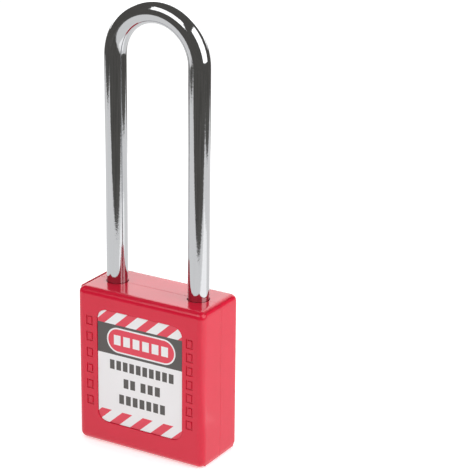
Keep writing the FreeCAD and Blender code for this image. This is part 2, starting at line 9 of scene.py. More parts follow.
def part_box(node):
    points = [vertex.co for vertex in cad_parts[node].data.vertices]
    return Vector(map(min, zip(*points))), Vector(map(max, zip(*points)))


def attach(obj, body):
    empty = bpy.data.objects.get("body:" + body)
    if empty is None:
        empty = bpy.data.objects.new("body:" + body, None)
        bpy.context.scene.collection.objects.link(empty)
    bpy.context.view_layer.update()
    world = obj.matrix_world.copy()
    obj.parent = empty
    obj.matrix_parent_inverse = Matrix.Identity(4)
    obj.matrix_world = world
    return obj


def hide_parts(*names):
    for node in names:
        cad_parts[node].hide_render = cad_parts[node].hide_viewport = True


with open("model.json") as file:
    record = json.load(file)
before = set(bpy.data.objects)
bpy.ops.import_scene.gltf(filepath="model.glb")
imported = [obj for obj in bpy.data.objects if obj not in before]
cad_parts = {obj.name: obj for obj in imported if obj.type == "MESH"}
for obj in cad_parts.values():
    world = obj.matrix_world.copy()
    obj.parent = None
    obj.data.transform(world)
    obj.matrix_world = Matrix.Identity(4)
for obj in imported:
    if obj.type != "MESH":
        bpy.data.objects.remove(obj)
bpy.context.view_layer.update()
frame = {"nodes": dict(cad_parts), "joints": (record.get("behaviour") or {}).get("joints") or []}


# ---- Lock housing, with the plates that close it
# A zinc die casting under the moulded case. It carries the plug, the pin chambers, the cam
# and the ball bores, and the plates over its openings are pressed steel and brass strip.

def from_hex(text):
    """An sRGB hex value as linear red, green and blue with an alpha of 1.

    Each channel c is c / 12.92 up to 0.04045, and ((c + 0.055) / 1.055) ** 2.4 above it.
    """
    channels = [int(text[i:i + 2], 16) / 255 for i in (1, 3, 5)]
    return [c / 12.92 if c <= 0.04045 else ((c + 0.055) / 1.055) ** 2.4 for c in channels] + [1.0]


def add(tree, kind, links=None, **settings):
    """Add a node of that kind, set its properties and sockets by name, and feed its inputs.

    A setting is a property of the node or, with spaces written as _, a socket. The keys of
    links are socket names or numbers, and each value is the output that feeds it or a number.
    """
    node = tree.nodes.new("ShaderNode" + kind)
    for name, value in settings.items():
        if hasattr(node, name):
            setattr(node, name, value)
        else:
            node.inputs[name.replace("_", " ")].default_value = value
    for socket, source in (links or {}).items():
        if isinstance(source, bpy.types.NodeSocket):
            tree.links.new(source, node.inputs[socket])
        else:
            node.inputs[socket].default_value = source
    return node


def new_material(name):
    """A material with an empty tree, its Object coordinates in mm, and its shader."""
    material = bpy.data.materials.new(name)
    material.use_nodes = True
    tree = material.node_tree
    tree.nodes.clear()
    place = add(tree, "TexCoord")
    millimetres = add(tree, "Mapping", {"Vector": place.outputs["Object"]},
                      Scale=(1000, 1000, 1000))
    shader = add(tree, "BsdfPrincipled")
    add(tree, "OutputMaterial", {"Surface": shader.outputs["BSDF"]})
    return material, tree, millimetres.outputs["Vector"], shader


def rough_bump(tree, shader, height, depth_mm, low, high):
    """Feed a 0 to 1 pattern to the shader as bump of that depth, and as roughness that goes
    from the low value to the high one."""
    bump = add(tree, "Bump", {"Height": height}, Strength=1.0, Distance=depth_mm / 1000)
    rough = add(tree, "MapRange", {"Value": height}, To_Min=low, To_Max=high)
    tree.links.new(bump.outputs["Normal"], shader.inputs["Normal"])
    tree.links.new(rough.outputs["Result"], shader.inputs["Roughness"])


def finish_nodes(material, names):
    """Give CAD nodes a material, in place of the one that they came with."""
    for name in names:
        slots = frame["nodes"][name].data.materials
        slots.clear()
        slots.append(material)


def die_cast_zinc():
    """Zinc alloy as it leaves the die: dull grey metal, with the faint mottle of cold flow
    every 2 mm and a fine skin texture of about 0.2 mm."""
    material, tree, mm, shader = new_material("die_cast_zinc")
    flow = add(tree, "TexNoise", {"Vector": mm}, Scale=0.5, Detail=6.0, Roughness=0.65)
    tint = add(tree, "Mix", {"Factor": flow.outputs["Fac"]}, data_type="RGBA",
               A=from_hex("#8C8D90"), B=from_hex("#B4B5B7"))
    shader.inputs["Metallic"].default_value = 1.0
    tree.links.new(tint.outputs["Result"], shader.inputs["Base Color"])
    skin = add(tree, "TexNoise", {"Vector": mm}, Scale=5.0, Detail=3.0)
    rough_bump(tree, shader, skin.outputs["Fac"], 0.02, 0.38, 0.55)
    return material


finish_nodes(die_cast_zinc(), ["lock_housing"])


def pressed_steel():
    """Zinc-plated steel strip: bright, with a satin from the rolls that runs across the sheet
    in streaks about 0.3 mm apart."""
    material, tree, mm, shader = new_material("pressed_zinc_plated_steel")
    stretched = add(tree, "Mapping", {"Vector": mm}, Scale=(0.15, 3.0, 3.0))
    streaks = add(tree, "TexNoise", {"Vector": stretched.outputs["Vector"]}, Scale=1.0, Detail=2.0)
    shader.inputs["Metallic"].default_value = 1.0
    shader.inputs["Base Color"].default_value = from_hex("#B9BCC0")
    rough_bump(tree, shader, streaks.outputs["Fac"], 0.004, 0.24, 0.38)
    return material


finish_nodes(pressed_steel(), ["cam_plate", "plug_clip"])


# ---- Plug and pins
# The plug is turned from brass rod and its keyway is broached, and its face shows in the base
# of the case. The pins are cut from the same rod, and the chamber strip is brass too.

def turned_brass():
    """Free-cutting brass: warm yellow metal with the fine rings of a lathe tool, 0.3 mm
    apart about the plug's axis, and a little tarnish in patches about 3 mm across."""
    material, tree, mm, shader = new_material("turned_brass")
    rings = add(tree, "TexWave", {"Vector": mm}, wave_type="RINGS", rings_direction="Z",
                Scale=1.05, Distortion=0.15, Detail=1.0)
    patches = add(tree, "TexNoise", {"Vector": mm}, Scale=0.35, Detail=3.0)
    tarnish = add(tree, "Mix", {"Factor": patches.outputs["Fac"]}, data_type="RGBA",
                  A=from_hex("#D9B566"), B=from_hex("#B98F47"))
    shader.inputs["Metallic"].default_value = 1.0
    tree.links.new(tarnish.outputs["Result"], shader.inputs["Base Color"])
    rough_bump(tree, shader, rings.outputs["Fac"], 0.003, 0.22, 0.34)
    return material


pins = [name for name in sorted(frame["nodes"]) if "_pin_" in name]
finish_nodes(turned_brass(), ["plug", "chamber_strip"] + pins)


# ---- Cam, balls and springs
# The cam is sintered steel and the two balls are ground bearing steel. The springs are drawn
# stainless wire, one under the long leg and one behind each driver pin.

def sintered_steel():
    """Pressed and sintered steel: a dark grey metal with open pores about 0.3 mm across."""
    material, tree, mm, shader = new_material("sintered_steel")
    pores = add(tree, "TexVoronoi", {"Vector": mm}, Scale=3.0)
    shader.inputs["Metallic"].default_value = 1.0
    shader.inputs["Base Color"].default_value = from_hex("#7A7B7E")
    rough_bump(tree, shader, pores.outputs["Distance"], 0.01, 0.35, 0.5)
    return material


def ground_steel(name, colour, low, high):
    """Hard steel with a fine even finish: grinding leaves it near a mirror, drawing a little
    less so. The noise of 0.1 mm is all that breaks the reflections."""
    material, tree, mm, shader = new_material(name)
    grain = add(tree, "TexNoise", {"Vector": mm}, Scale=10.0, Detail=2.0)
    shader.inputs["Metallic"].default_value = 1.0
    shader.inputs["Base Color"].default_value = from_hex(colour)
    rough_bump(tree, shader, grain.outputs["Fac"], 0.0005, low, high)
    return material


springs = [name for name in sorted(frame["nodes"]) if "spring" in name]
finish_nodes(sintered_steel(), ["cam"])
finish_nodes(ground_steel("ground_bearing_steel", "#C9CBCE", 0.06, 0.1), ["heel_ball", "toe_ball"])
finish_nodes(ground_steel("drawn_stainless_wire", "#B4B6B8", 0.18, 0.28), springs)


# ---- Shackle
# One bar of 6 mm hardened steel, bent to a U and plated with bright chrome. The long heel leg
# carries a channel and a groove for its ball, and the short toe leg has one notch.

def mesh_piece(name, points, faces, material, sharp_degrees=30):
    """A mesh object from points in mm and faces, smooth but for edges sharper than the angle."""
    mesh = bpy.data.meshes.new(name)
    mesh.from_pydata((np.asarray(points) / 1000).tolist(), [], [list(face) for face in faces])
    mesh.validate()
    mesh.shade_smooth()
    mesh.set_sharp_from_angle(angle=math.radians(sharp_degrees))
    mesh.materials.append(material)
    piece = bpy.data.objects.new(name, mesh)
    bpy.context.scene.collection.objects.link(piece)
    return piece


def steps(*stretches):
    """One rising array of every value in the stretches, each value once."""
    return np.unique(np.round(np.concatenate([np.ravel(s) for s in stretches]), 6))


def box_mm(node):
    """The lowest and the highest corner of a CAD node, in mm."""
    return [np.array(corner) * 1000 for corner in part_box(node)]


low_mm, high_mm = box_mm("shackle")
bar_radius = (high_mm[1] - low_mm[1]) / 2
leg_x = high_mm[0] - bar_radius
crown_z = high_mm[2] - bar_radius - leg_x
heel_end, toe_end = low_mm[2], 31.65
toe_ball_low, toe_ball_high = box_mm("toe_ball")
ball_z = (toe_ball_low[2] + toe_ball_high[2]) / 2
lift_joint = next(joint for joint in frame["joints"] if joint["name"] == "shackle_lift")
lift = lift_joint["range_m"][1] * 1000
end_chamfer = 0.6
notch_radius, notch_depth = 2.85, 1.45
channel_radius, channel_depth = 2.95, 0.85


def notched_radius(angle, height):
    """How far the surface of a leg stands from its axis, at an angle from the notch's side.

    A crosswise round notch of radius R leaves (d - sqrt(R^2 - h^2)) / cos(angle), where d is
    how far its axis is from the leg's axis and h the height from it. The smaller of that and
    the bar's own radius is kept.
    """
    facing = np.maximum(np.cos(angle), 1e-6)
    axis = bar_radius + notch_radius - notch_depth
    half_chord = np.sqrt(np.maximum(notch_radius ** 2 - (height - ball_z) ** 2, 0))
    notched = (half_chord > 0) & (np.cos(angle) > 0)
    return np.minimum(np.where(notched, (axis - half_chord) / facing, bar_radius), bar_radius)


def heel_radius(angle, height):
    """The heel leg: its notch, its groove and the channel between them.

    The groove is a ring of round section, so it leaves d - sqrt(R^2 - h^2) at every angle.
    The channel is a round groove along the leg, and leaves d cos(a) - sqrt(R^2 - d^2 sin^2(a)).
    """
    groove_z = ball_z - lift
    axis = bar_radius + notch_radius - notch_depth
    half_chord = np.sqrt(np.maximum(notch_radius ** 2 - (height - groove_z) ** 2, 0))
    groove = np.where(half_chord > 0, axis - half_chord, bar_radius)
    off = bar_radius + channel_radius - channel_depth
    inside = channel_radius ** 2 - (off * np.sin(angle)) ** 2
    along = (inside > 0) & (np.cos(angle) > 0) & (height > groove_z) & (height < ball_z)
    channel = np.where(along, off * np.cos(angle) - np.sqrt(np.maximum(inside, 0)), bar_radius)
    return np.minimum(np.minimum(groove, channel), notched_radius(angle, height))


def chamfer(height, end):
    """How much radius a leg loses near its lower end: all of the chamfer at the end itself."""
    return np.clip(end_chamfer - (height - end), 0, end_chamfer)


def leg_rings(side, end, radius, heights, angles):
    """Rings up one straight leg, as points [height, angle], where angle 0 faces the other leg."""
    angle, height = np.meshgrid(angles, heights)
    reach = radius(angle, height) - chamfer(height, end)
    x = side * (leg_x - reach * np.cos(angle))
    return np.stack([x, reach * np.sin(angle), height], axis=-1)


def crown_rings(sweep, angles):
    """Rings round the crown, a half torus: the bend's angle runs from the heel leg over the
    top to the toe leg, and the section's angle is the same as on the legs."""
    section, bend = np.meshgrid(angles, sweep)
    out = leg_x - bar_radius * np.cos(section)
    y = bar_radius * np.sin(section)
    return np.stack([-out * np.cos(bend), y, crown_z + out * np.sin(bend)], axis=-1)


def tube_faces(rings, around):
    """Faces of a tube of closed rings, and a fan at each end on the two points that follow."""
    ring, spot = np.meshgrid(np.arange(rings - 1), np.arange(around), indexing="ij")
    after = (spot + 1) % around
    start, end = ring * around, (ring + 1) * around
    sides = np.stack([start + spot, start + after, end + after, end + spot], axis=-1)
    spot = np.arange(around)
    after = (spot + 1) % around
    first = np.stack([np.full(around, rings * around), after, spot], axis=-1)
    last = np.stack([np.full(around, rings * around + 1),
                     (rings - 1) * around + spot, (rings - 1) * around + after], axis=-1)
    return sides.reshape(-1, 4).tolist() + first.tolist() + last.tolist()


bar_sides, notch_rings, channel_rings, straight_rings, crown_count = 96, 21, 8, 40, 65
angles = np.linspace(0, 2 * np.pi, bar_sides, endpoint=False)
bite = np.sqrt(notch_radius ** 2 - (notch_radius - notch_depth) ** 2)
round_cut = np.sin(np.linspace(-0.5, 0.5, notch_rings) * np.pi) * bite
straight = np.linspace(box_mm("front_shell")[1][2], crown_z, straight_rings)
heel_heights = steps(
    [heel_end, heel_end + end_chamfer], ball_z - lift + round_cut, ball_z + round_cut,
    np.linspace(ball_z - lift + bite, ball_z - bite, channel_rings), straight)
toe_heights = steps([toe_end, toe_end + end_chamfer], ball_z + round_cut, straight)
heel_rings = leg_rings(-1, heel_end, heel_radius, heel_heights, angles)
toe_rings = leg_rings(1, toe_end, notched_radius, toe_heights, angles)[::-1]
bend = crown_rings(np.linspace(0, np.pi, crown_count)[1:-1], angles)
rings = np.concatenate([heel_rings, bend, toe_rings])
ends = np.array([[-leg_x, 0, heel_end], [leg_x, 0, toe_end]])


def bright_chrome():
    """Chrome plate over nickel on a polished bar: nearly a mirror, faintly blue-grey. A fine
    orange peel with dimples 0.6 mm apart and the bar's drawing lines, 0.4 mm apart along it,
    fray the edges of what it reflects."""
    material, tree, mm, shader = new_material("bright_chrome_plate")
    along = add(tree, "Mapping", {"Vector": mm}, Scale=(2.5, 2.5, 0.06))
    streaks = add(tree, "TexNoise", {"Vector": along.outputs["Vector"]}, Scale=1.0, Detail=3.0)
    peel = add(tree, "TexNoise", {"Vector": mm}, Scale=1.6, Detail=3.0)
    both = add(tree, "Math", {0: streaks.outputs["Fac"], 1: peel.outputs["Fac"]},
               operation="MULTIPLY")
    shader.inputs["Metallic"].default_value = 1.0
    shader.inputs["Base Color"].default_value = from_hex("#C6C7C9")
    rough_bump(tree, shader, both.outputs[0], 0.014, 0.04, 0.14)
    return material


shackle = mesh_piece("chromed_shackle", np.concatenate([rings.reshape(-1, 3), ends]),
                     tube_faces(len(rings), bar_sides), bright_chrome())
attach(shackle, "shackle")
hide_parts("shackle")


# ---- Case halves
# Two glass-filled nylon shells, injection moulded in a polished tool and welded at the middle
# plane. Each is one closed surface: its outside and its parting side are two grids of the
# same lines, X by Z, and each gives a height above the parting plane. A strip joins them.

case_low, case_high = box_mm("rear_shell")
half_width, half_depth = case_high[0], case_high[1]
rounding, seam_bevel = 2.0, 0.07
bar_gap, keyhole_radius = 0.15, 5.4
hole_radius = bar_radius + bar_gap
toe_room, heel_floor = 0.65, 3.0
toe_floor = toe_end - toe_room

housing_low, housing_high = box_mm("lock_housing")
seat, barrel_left, shoulder_z = 0.1, 6.3, 26.0
cavity_depth = housing_high[1] + seat
cavity_low, cavity_top = housing_low[2] - seat, housing_high[2] + seat
cavity_left, cavity_right = barrel_left + seat, housing_high[0] + seat
cavity_arm = -housing_low[0] + seat

plate_low, plate_high = box_mm("front_label")
label_gap = 0.1
recess_x = plate_high[0] + label_gap
recess_low, recess_high = plate_low[2] - label_gap, plate_high[2] + label_gap
recess_depth, recess_corner, recess_rounding = 0.6, 3.2, 0.14

mark_inset, mark_across, mark_up = 4.2, 1.1, 1.4
mark_stroke, mark_depth, mark_draft = 0.45, 0.25, 0.06
mark_rise, mark_span, left_count, right_count = 0.8, 24.0, 6, 7
mark_x = half_width - mark_inset
mark_middle = (recess_low + recess_high) / 2 + mark_rise
left_marks = mark_middle + mark_span * np.linspace(-0.5, 0.5, left_count)
right_marks = mark_middle + mark_span * np.linspace(-0.5, 0.5, right_count)

# An upright wall stands between two lines a step apart. A line of the grid runs a guard's
# width inside the rounding, and a bore that leaves the case runs past its rim.
step, guard, past_rim = 0.02, 0.15, 1.0


def round_corners(x, z, side, low, high, radius, margin=0.0, blend=0.0):
    """Bend the lines of a grid to arcs at the four corners of a rectangle.

    At offsets (a, b) from the centre of a corner's arc, with m = max(a, b), a point moves to
    (a sqrt(1 - (b/m)^2 / 2), b sqrt(1 - (a/m)^2 / 2)), which is on a circle of radius m. That
    holds up to the margin past the radius, and the lines are straight again after the blend.
    """
    middle, half = (low + high) / 2, (high - low) / 2
    a = np.maximum(np.abs(x) - (side - radius), 0)
    b = np.maximum(np.abs(z - middle) - (half - radius), 0)
    m = np.maximum(np.maximum(a, b), 1e-9)
    share = np.clip(1 - (m - radius - margin) / max(blend, 1e-6), 0, 1)
    shift_a = a * (np.sqrt(1 - (b / m) ** 2 / 2) - 1) * share
    shift_b = b * (np.sqrt(1 - (a / m) ** 2 / 2) - 1) * share
    return x + np.sign(x) * shift_a, z + np.sign(z - middle) * shift_b


def quarter(distance, radius):
    """The drop of a rounded edge at a distance inside it: R - sqrt(R^2 - (R - d)^2)."""
    return radius - np.sqrt(radius ** 2 - np.clip(radius - distance, 0, radius) ** 2)


def outside_height(x, z):
    """The moulded face: rounded at the rim, with the label's recess and the engraved marks.

    A mark is a groove along a small rectangle: with d = max(|dx| - half width, |dz| - half
    height), it is where d is between minus the stroke and 0, with walls that lean a little.
    """
    rim = np.minimum(half_width - np.abs(x), np.minimum(z - case_low[2], case_high[2] - z))
    height = half_depth - quarter(rim, rounding)
    edge = np.maximum(np.abs(x) - recess_x, np.maximum(recess_low - z, z - recess_high))
    height -= np.where(edge < -step / 2, recess_depth, quarter(edge, recess_rounding))
    for side, marks in ((-1, left_marks), (1, right_marks)):
        away = np.abs(z[..., None] - marks).min(axis=-1)
        d = np.maximum(np.abs(x - side * mark_x) - mark_across, away - mark_up)
        outer_wall = np.clip(-d / mark_draft, 0, 1)
        inner_wall = np.clip((d + mark_stroke) / mark_draft, 0, 1)
        height -= mark_depth * outer_wall * inner_wall
    return height


def inside_height(x, z):
    """The parting side: flat, with the housing's T-shaped cavity, the half round bores of
    the two legs and the half round hole of the plug."""
    lower = (z > cavity_low) & (z < shoulder_z) & (x > -cavity_left) & (x < cavity_right)
    upper = (z > shoulder_z - seat) & (z < cavity_top) & (np.abs(x) < cavity_arm)
    height = np.where(lower | upper, cavity_depth, 0.0)
    above, under = case_high[2] + past_rim, case_low[2] - past_rim
    for centre, radius, floor, top in ((-leg_x, hole_radius, heel_floor, above),
                                       (leg_x, hole_radius, toe_floor, above),
                                       (0, keyhole_radius, under, cavity_low + step)):
        bore = np.sqrt(np.maximum(radius ** 2 - (x - centre) ** 2, 0))
        height = np.maximum(height, np.where((z > floor) & (z < top), bore, 0))
    return height


def both_sides(values):
    """The values and their mirror images."""
    return np.concatenate([values, -np.asarray(values)])


def walls(*places):
    """Two lines a hair apart at each place, for a wall that stands straight up."""
    return np.concatenate([[place - step / 2, place + step / 2] for place in places])


rim_steps = rounding * (1 - np.sin(np.linspace(0, np.pi / 2, 11)))
soft_edge = recess_rounding * np.array([0, 0.08, 0.3, 0.62, 1.0])
arc_steps = recess_corner * np.sin(np.linspace(0, np.pi / 2, 9))
blend_steps = np.array([0.35, 0.75, 1.2, 1.7])
mark_walls = np.array([0, mark_draft, mark_stroke - mark_draft, mark_stroke])
bore_steps = np.cos(np.linspace(0, np.pi, 25))
middle_lines = np.linspace(-9, 9, 7)
x_lines = steps(
    both_sides(half_width - rim_steps), both_sides([half_width - rounding - guard]),
    both_sides(recess_x + soft_edge), both_sides([recess_x - step]),
    both_sides(recess_x + blend_steps), both_sides(recess_x - recess_corner + arc_steps),
    middle_lines, both_sides(mark_x + both_sides(mark_across - mark_walls)),
    both_sides(leg_x - hole_radius * bore_steps), keyhole_radius * bore_steps,
    walls(-cavity_left, cavity_right, -cavity_arm, cavity_arm))
z_lines = steps(
    case_low[2] + rim_steps, case_high[2] - rim_steps,
    [case_low[2] + rounding + guard, case_high[2] - rounding - guard],
    recess_high + soft_edge, recess_low - soft_edge, [recess_high - step, recess_low + step],
    recess_high + blend_steps, recess_low - blend_steps,
    recess_high - recess_corner + arc_steps, recess_low + recess_corner - arc_steps,
    left_marks[:, None] + both_sides(mark_up - mark_walls),
    right_marks[:, None] + both_sides(mark_up - mark_walls),
    walls(cavity_low, shoulder_z, shoulder_z - seat, cavity_top, toe_floor, heel_floor))


def border(grid):
    """The points round the rim of a grid, once round, each corner once."""
    return np.concatenate([grid[:-1, 0], grid[-1, :-1], grid[:0:-1, -1], grid[0, :0:-1]])


def grid_faces(across, up, first=0):
    """The quads of a grid of that many lines, from its first point on."""
    i, j = np.meshgrid(np.arange(across - 1), np.arange(up - 1), indexing="ij")
    corner = first + i * up + j
    return np.stack([corner, corner + up, corner + up + 1, corner + 1], axis=-1).reshape(-1, 4)


def closed_slab(outer, inner, rows):
    """Points and faces of a solid between two grids of the same lines.

    outer and inner are arrays [x line, z line, xyz], and rows are the rings of points
    between their rims. The quads of the strip join one ring to the next.
    """
    across, up = outer.shape[:2]
    points = np.concatenate([outer.reshape(-1, 3), inner.reshape(-1, 3)] + list(rows))
    number = np.arange(across * up).reshape(across, up)
    rim = border(number)
    total = across * up
    count = len(rim)
    between = [2 * total + k * count + np.arange(count) for k in range(len(rows))]
    rings = [rim] + between + [rim + total]
    faces = [grid_faces(across, up), grid_faces(across, up, total)[:, ::-1]]
    for ring, after in zip(rings[:-1], rings[1:]):
        faces.append(np.stack([ring, after, np.roll(after, -1), np.roll(ring, -1)], axis=-1))
    return points, np.concatenate(faces)


strip_shares = (0.97, 0.7, 0.4, 0.12, 0.0)


def half_shell(front):
    """The points and faces of one shell. The front shell's heights are measured towards -Y.

    The parting side's rim is drawn in by the seam bevel, which fades out over the rounding.
    """
    x, z = np.meshgrid(x_lines, z_lines, indexing="ij")
    middle = (case_low[2] + case_high[2]) / 2
    rim_x, rim_z = round_corners(x, z, half_width, case_low[2], case_high[2], rounding)
    face_x, face_z = round_corners(rim_x, rim_z, recess_x, recess_low, recess_high,
                                   recess_corner, recess_rounding, blend_steps[-1])
    pull_x = seam_bevel * np.clip(1 - (half_width - np.abs(x)) / rounding, 0, 1)
    pull_z = seam_bevel * np.clip(1 - (middle - np.abs(z - middle)) / rounding, 0, 1)
    side = -1 if front else 1
    outer_height, inner_height = outside_height(x, z), inside_height(x, z)
    outer = np.stack([face_x, side * outer_height, face_z], axis=-1)
    inner = np.stack([rim_x - np.sign(x) * pull_x, side * inner_height,
                      rim_z - np.sign(z - middle) * pull_z], axis=-1)
    rim = border(np.stack([rim_x, rim_z], axis=-1))
    low, high = border(inner_height) + seam_bevel, border(outer_height)
    rows = []
    for share in strip_shares:
        rows.append(np.stack([rim[:, 0], side * (low + (high - low) * share), rim[:, 1]], axis=-1))
    points, faces = closed_slab(outer, inner, rows)
    return points, (faces if front else faces[:, ::-1])


def moulded_nylon():
    """Glass-filled nylon from a polished tool: deep red and glossy, with cloudy flow marks
    about 6 mm across and a slight orange peel every 3 mm."""
    material, tree, mm, shader = new_material("injection_moulded_nylon")
    flow = add(tree, "TexNoise", {"Vector": mm}, Scale=0.16, Detail=3.0)
    tint = add(tree, "Mix", {"Factor": flow.outputs["Fac"]}, data_type="RGBA",
               A=from_hex("#CA0C2E"), B=from_hex("#D21236"))
    tree.links.new(tint.outputs["Result"], shader.inputs["Base Color"])
    shader.inputs["IOR"].default_value = 1.53
    peel = add(tree, "TexNoise", {"Vector": mm}, Scale=0.35, Detail=5.0, Roughness=0.6)
    rough_bump(tree, shader, peel.outputs["Fac"], 0.01, 0.1, 0.22)
    return material


nylon = moulded_nylon()
for name, front in (("front_shell", True), ("rear_shell", False)):
    points, faces = half_shell(front)
    shell = mesh_piece("moulded_" + name, points, faces, nylon)
    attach(shell, "case")
    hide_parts(name)


# ---- Label plates
# Two printed polyester films on a stiff backing, pressed into the recesses of the case. The
# ink is under a clear laminate: a danger stripe at each end, a dark band with a red badge, and
# rows of plain blocks where words would be. The rear one has lines to write on.

plate_corner, plate_edge = recess_corner - label_gap, 0.08
edge_steps = plate_edge * (1 - np.sin(np.linspace(0, np.pi / 2, 4)))
corner_steps = plate_corner * np.sin(np.linspace(0, np.pi / 2, 13))


def label_plate(front):
    """A flat plate with rounded corners, its outer edge rounded by a quarter circle."""
    half = (plate_high[2] - plate_low[2]) / 2
    middle = (plate_high[2] + plate_low[2]) / 2
    offsets = steps(both_sides(plate_high[0] - edge_steps), middle_lines,
                    both_sides(plate_high[0] - plate_corner + corner_steps))
    heights = steps(both_sides(half - edge_steps), np.linspace(-12, 12, 9),
                    both_sides(half - plate_corner + corner_steps))
    x, z = np.meshgrid(offsets, heights + middle, indexing="ij")
    rim = np.minimum(plate_high[0] - np.abs(x), half - np.abs(z - middle))
    x, z = round_corners(x, z, plate_high[0], plate_low[2], plate_high[2], plate_corner)
    side = -1 if front else 1
    outer = np.stack([x, side * (-plate_low[1] - quarter(rim, plate_edge)), z], axis=-1)
    inner = np.stack([x, np.full_like(x, side * -plate_high[1]), z], axis=-1)
    points, faces = closed_slab(outer, inner, [])
    return points, (faces if front else faces[:, ::-1])


def printed(name, paint_print):
    """Printed polyester film under a clear laminate: even flat ink, a soft gloss, and the
    faint ripple of the adhesive behind it every 5 mm or so."""
    material, tree, mm, shader = new_material(name)
    place = add(tree, "SeparateXYZ", {"Vector": mm})
    ink = paint_print(tree, place.outputs["X"], place.outputs["Z"])
    tree.links.new(ink, shader.inputs["Base Color"])
    shader.inputs["IOR"].default_value = 1.5
    ripple = add(tree, "TexNoise", {"Vector": mm}, Scale=0.2, Detail=4.0)
    rough_bump(tree, shader, ripple.outputs["Fac"], 0.01, 0.26, 0.36)
    return material


def within(tree, x, z, centre, half):
    """1 inside a rectangle about a centre, and 0 outside it."""
    across = add(tree, "Math", {0: x, 1: centre[0], 2: half[0]}, operation="COMPARE")
    up = add(tree, "Math", {0: z, 1: centre[1], 2: half[1]}, operation="COMPARE")
    both = add(tree, "Math", {0: across.outputs[0], 1: up.outputs[0]}, operation="MULTIPLY")
    return both.outputs[0]


def block_row(tree, x, z, left, count, pitch, width, low, high):
    """A row of equal upright blocks, the first at the left: x - left, modulo the pitch, is
    less than the width inside the row's rectangle."""
    reach = ((count - 1) * pitch + width) / 2
    row = within(tree, x, z, (left + reach, (low + high) / 2), (reach, (high - low) / 2))
    shifted = add(tree, "Math", {0: x, 1: left}, operation="SUBTRACT")
    phase = add(tree, "Math", {0: shifted.outputs[0], 1: pitch}, operation="FLOORED_MODULO")
    block = add(tree, "Math", {0: phase.outputs[0], 1: width}, operation="LESS_THAN")
    both = add(tree, "Math", {0: row, 1: block.outputs[0]}, operation="MULTIPLY")
    return both.outputs[0]


def pill(tree, x, z, centre, straight, radius):
    """1 inside a pill: its distance sqrt(max(|x| - straight, 0)^2 + z^2) is under the radius."""
    shifted = add(tree, "Math", {0: x, 1: centre[0]}, operation="SUBTRACT")
    across = add(tree, "Math", {0: shifted.outputs[0]}, operation="ABSOLUTE")
    past = add(tree, "Math", {0: across.outputs[0], 1: straight}, operation="SUBTRACT")
    beyond = add(tree, "Math", {0: past.outputs[0], 1: 0.0}, operation="MAXIMUM")
    up = add(tree, "Math", {0: z, 1: centre[1]}, operation="SUBTRACT")
    offset = add(tree, "CombineXYZ", {"X": beyond.outputs[0], "Y": up.outputs[0]})
    distance = add(tree, "VectorMath", {0: offset.outputs[0]}, operation="LENGTH")
    inside = add(tree, "Math", {0: distance.outputs["Value"], 1: radius}, operation="LESS_THAN")
    return inside.outputs[0]


stripe_top, stripe_low, top_start, low_start = 36.9, 10.9, -11.45, 0.0
stripe_pitch, stripe_white, stripe_lean = 6.8, 3.5, 1.1
label_red, label_white, label_dark = "#DA3C50", "#E4E2E3", "#524E4C"


def striped_ends(tree, x, z):
    """Two layers, each a mask and its colour: red bars that lean right in the two end bands,
    where (x - start - lean (z - low)) modulo the pitch is past the width of the white bars."""
    layers = []
    for low, high, start in ((stripe_top, plate_high[2], top_start),
                             (plate_low[2], stripe_low, low_start)):
        rise = add(tree, "Math", {0: z, 1: low}, operation="SUBTRACT")
        lean = add(tree, "Math", {0: rise.outputs[0], 1: stripe_lean, 2: start},
                   operation="MULTIPLY_ADD")
        slant = add(tree, "Math", {0: x, 1: lean.outputs[0]}, operation="SUBTRACT")
        phase = add(tree, "Math", {0: slant.outputs[0], 1: stripe_pitch},
                    operation="FLOORED_MODULO")
        bar = add(tree, "Math", {0: phase.outputs[0], 1: stripe_white}, operation="GREATER_THAN")
        band = within(tree, x, z, (0, (low + high) / 2), (plate_high[0], (high - low) / 2))
        mask = add(tree, "Math", {0: band, 1: bar.outputs[0]}, operation="MULTIPLY")
        layers.append((mask.outputs[0], label_red))
    return layers


def paint_layers(tree, layers):
    """White film with each layer's colour laid over it where its mask is 1."""
    paint = from_hex(label_white)
    for mask, colour in layers:
        paint = add(tree, "Mix", {"Factor": mask, "A": paint, "B": from_hex(colour)},
                    data_type="RGBA").outputs["Result"]
    return paint


front_badge = {"centre": (0.5, 32.4), "straight": 7.45, "radius": 3.75}
badge_outline, front_band, front_band_half = 0.45, 32.4, 4.5
badge_blocks = {"left": -8.4, "count": 6, "pitch": 3.1, "width": 2.2, "low": 31.0, "high": 33.9}
front_rows = (
    {"left": -9.8, "count": 10, "pitch": 2.15, "width": 1.55, "low": 23.5, "high": 26.3},
    {"left": -5.3, "count": 2, "pitch": 2.2, "width": 1.6, "low": 18.5, "high": 21.3},
    {"left": 0.3, "count": 3, "pitch": 2.35, "width": 1.65, "low": 18.5, "high": 21.3},
    {"left": -6.8, "count": 7, "pitch": 2.25, "width": 1.6, "low": 13.5, "high": 16.3})


def front_print(tree, x, z):
    """The front print, from the bottom layer up: the stripes, the dark band, the badge with
    its white outline, white blocks on the badge, and the other rows of blocks in the dark."""
    layers = striped_ends(tree, x, z)
    band = within(tree, x, z, (0, front_band), (plate_high[0], front_band_half))
    inner_badge = dict(front_badge, radius=front_badge["radius"] - badge_outline)
    layers.append((band, label_dark))
    layers.append((pill(tree, x, z, **front_badge), label_white))
    layers.append((pill(tree, x, z, **inner_badge), label_red))
    layers.append((block_row(tree, x, z, **badge_blocks), label_white))
    for row in front_rows:
        layers.append((block_row(tree, x, z, **row), label_dark))
    return paint_layers(tree, layers)


